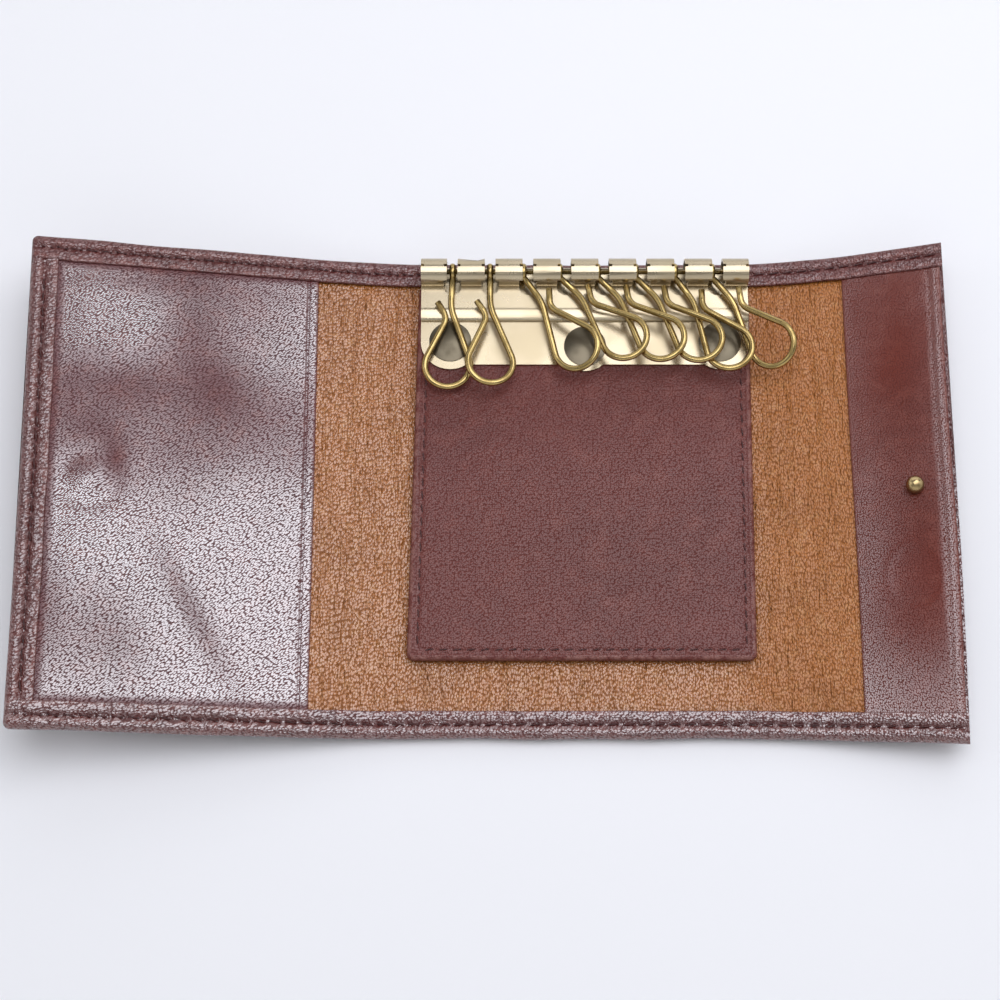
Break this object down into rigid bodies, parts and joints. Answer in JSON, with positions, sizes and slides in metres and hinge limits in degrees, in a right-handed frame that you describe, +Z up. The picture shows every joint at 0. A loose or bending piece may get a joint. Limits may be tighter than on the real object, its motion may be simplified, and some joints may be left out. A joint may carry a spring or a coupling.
{
  "type": "folding leather key case",
  "caption": "Trifold leather key case lying open: hemmed cover, tan lining, bill pocket, snap flap and a hinged leaf whose slotted brass frame carries swinging wire key hooks.",
  "frame": {"origin": "middle of the centre panel's outer face, on the table it lies on", "axes": "+X across the folds from the bill pocket to the snap flap, +Y up the case towards the key frame, +Z up from the table"},
  "size_m": [0.1827, 0.1, 0.0161],
  "materials": {
    "cover_leather": "dark burgundy grained leather, semi-gloss",
    "lining_leather": "golden tan crinkled lining leather",
    "facing_leather": "burgundy fine-grained leather with a strong sheen",
    "leaf_leather": "burgundy smooth leather, stitched edges",
    "board": "grey fibre board",
    "frame_brass": "polished pale brass sheet",
    "hook_brass": "dull antique brass wire",
    "nickel_steel": "grey nickel, circular brushing on the heads",
    "snap_brass": "nickel-plated brass"
  },
  "bodies": {
    "centre": {"cover_centre": "cover_leather", "lining_centre": "lining_leather", "cover_left_fold": "cover_leather", "lining_left_fold": "lining_leather", "cover_right_fold": "cover_leather", "lining_right_fold": "lining_leather", "leaf_tab": "leaf_leather"},
    "left_wing": {"cover_left_wing": "cover_leather", "lining_left_wing": "lining_leather", "pocket_panel": "facing_leather", "snap_socket": "snap_brass", "socket_spring": "nickel_steel", "socket_eyelet": "snap_brass"},
    "right_flap": {"cover_right_flap": "cover_leather", "lining_right_flap": "lining_leather", "flap_facing": "facing_leather", "snap_stud": "snap_brass", "stud_cap": "snap_brass"},
    "leaf": {"leaf_front": "leaf_leather", "leaf_core": "board", "leaf_back": "leaf_leather", "key_frame": "frame_brass", "frame_rivets": "nickel_steel", "rivet_washers": "nickel_steel", "hook_axle": "nickel_steel"},
    "hook_1": {"key_hook_1": "hook_brass"},
    "hook_2": {"key_hook_2": "hook_brass"},
    "hook_3": {"key_hook_3": "hook_brass"},
    "hook_4": {"key_hook_4": "hook_brass"},
    "hook_5": {"key_hook_5": "hook_brass"},
    "hook_6": {"key_hook_6": "hook_brass"},
    "hook_7": {"key_hook_7": "hook_brass"},
    "hook_8": {"key_hook_8": "hook_brass"}
  },
  "joints": [
    {"name": "left_wing_fold", "type": "hinge", "parent": "centre", "child": "left_wing", "pos_m": [-0.0401, 0, 0.0074], "axis": [0, 1, 0], "range_deg": [-8.2, 168.7], "deforming": ["cover_left_fold", "lining_left_fold"]},
    {"name": "right_flap_fold", "type": "hinge", "parent": "centre", "child": "right_flap", "pos_m": [0.0401, 0, 0.0099], "axis": [0, -1, 0], "range_deg": [-10.7, 166], "deforming": ["cover_right_fold", "lining_right_fold"]},
    {"name": "leaf_lift", "type": "hinge", "parent": "centre", "child": "leaf", "pos_m": [0, 0.0447, 0.0022], "axis": [1, 0, 0], "range_deg": [-26, 0]},
    {"name": "hook_1_swing", "type": "hinge", "parent": "leaf", "child": "hook_1", "pos_m": [-0.02712, 0.046, 0.0065], "axis": [-1, 0, 0], "range_deg": [0, 180]},
    {"name": "hook_2_swing", "type": "hinge", "parent": "leaf", "child": "hook_2", "pos_m": [-0.01937, 0.046, 0.0065], "axis": [-1, 0, 0], "range_deg": [0, 180]},
    {"name": "hook_3_swing", "type": "hinge", "parent": "leaf", "child": "hook_3", "pos_m": [-0.01162, 0.046, 0.0065], "axis": [-1, 0, 0], "range_deg": [0, 180]},
    {"name": "hook_4_swing", "type": "hinge", "parent": "leaf", "child": "hook_4", "pos_m": [-0.00387, 0.046, 0.0065], "axis": [-1, 0, 0], "range_deg": [0, 180]},
    {"name": "hook_5_swing", "type": "hinge", "parent": "leaf", "child": "hook_5", "pos_m": [0.00387, 0.046, 0.0065], "axis": [-1, 0, 0], "range_deg": [0, 180]},
    {"name": "hook_6_swing", "type": "hinge", "parent": "leaf", "child": "hook_6", "pos_m": [0.01162, 0.046, 0.0065], "axis": [-1, 0, 0], "range_deg": [0, 180]},
    {"name": "hook_7_swing", "type": "hinge", "parent": "leaf", "child": "hook_7", "pos_m": [0.01937, 0.046, 0.0065], "axis": [-1, 0, 0], "range_deg": [0, 180]},
    {"name": "hook_8_swing", "type": "hinge", "parent": "leaf", "child": "hook_8", "pos_m": [0.02712, 0.046, 0.0065], "axis": [-1, 0, 0], "range_deg": [0, 180]}
  ]
}
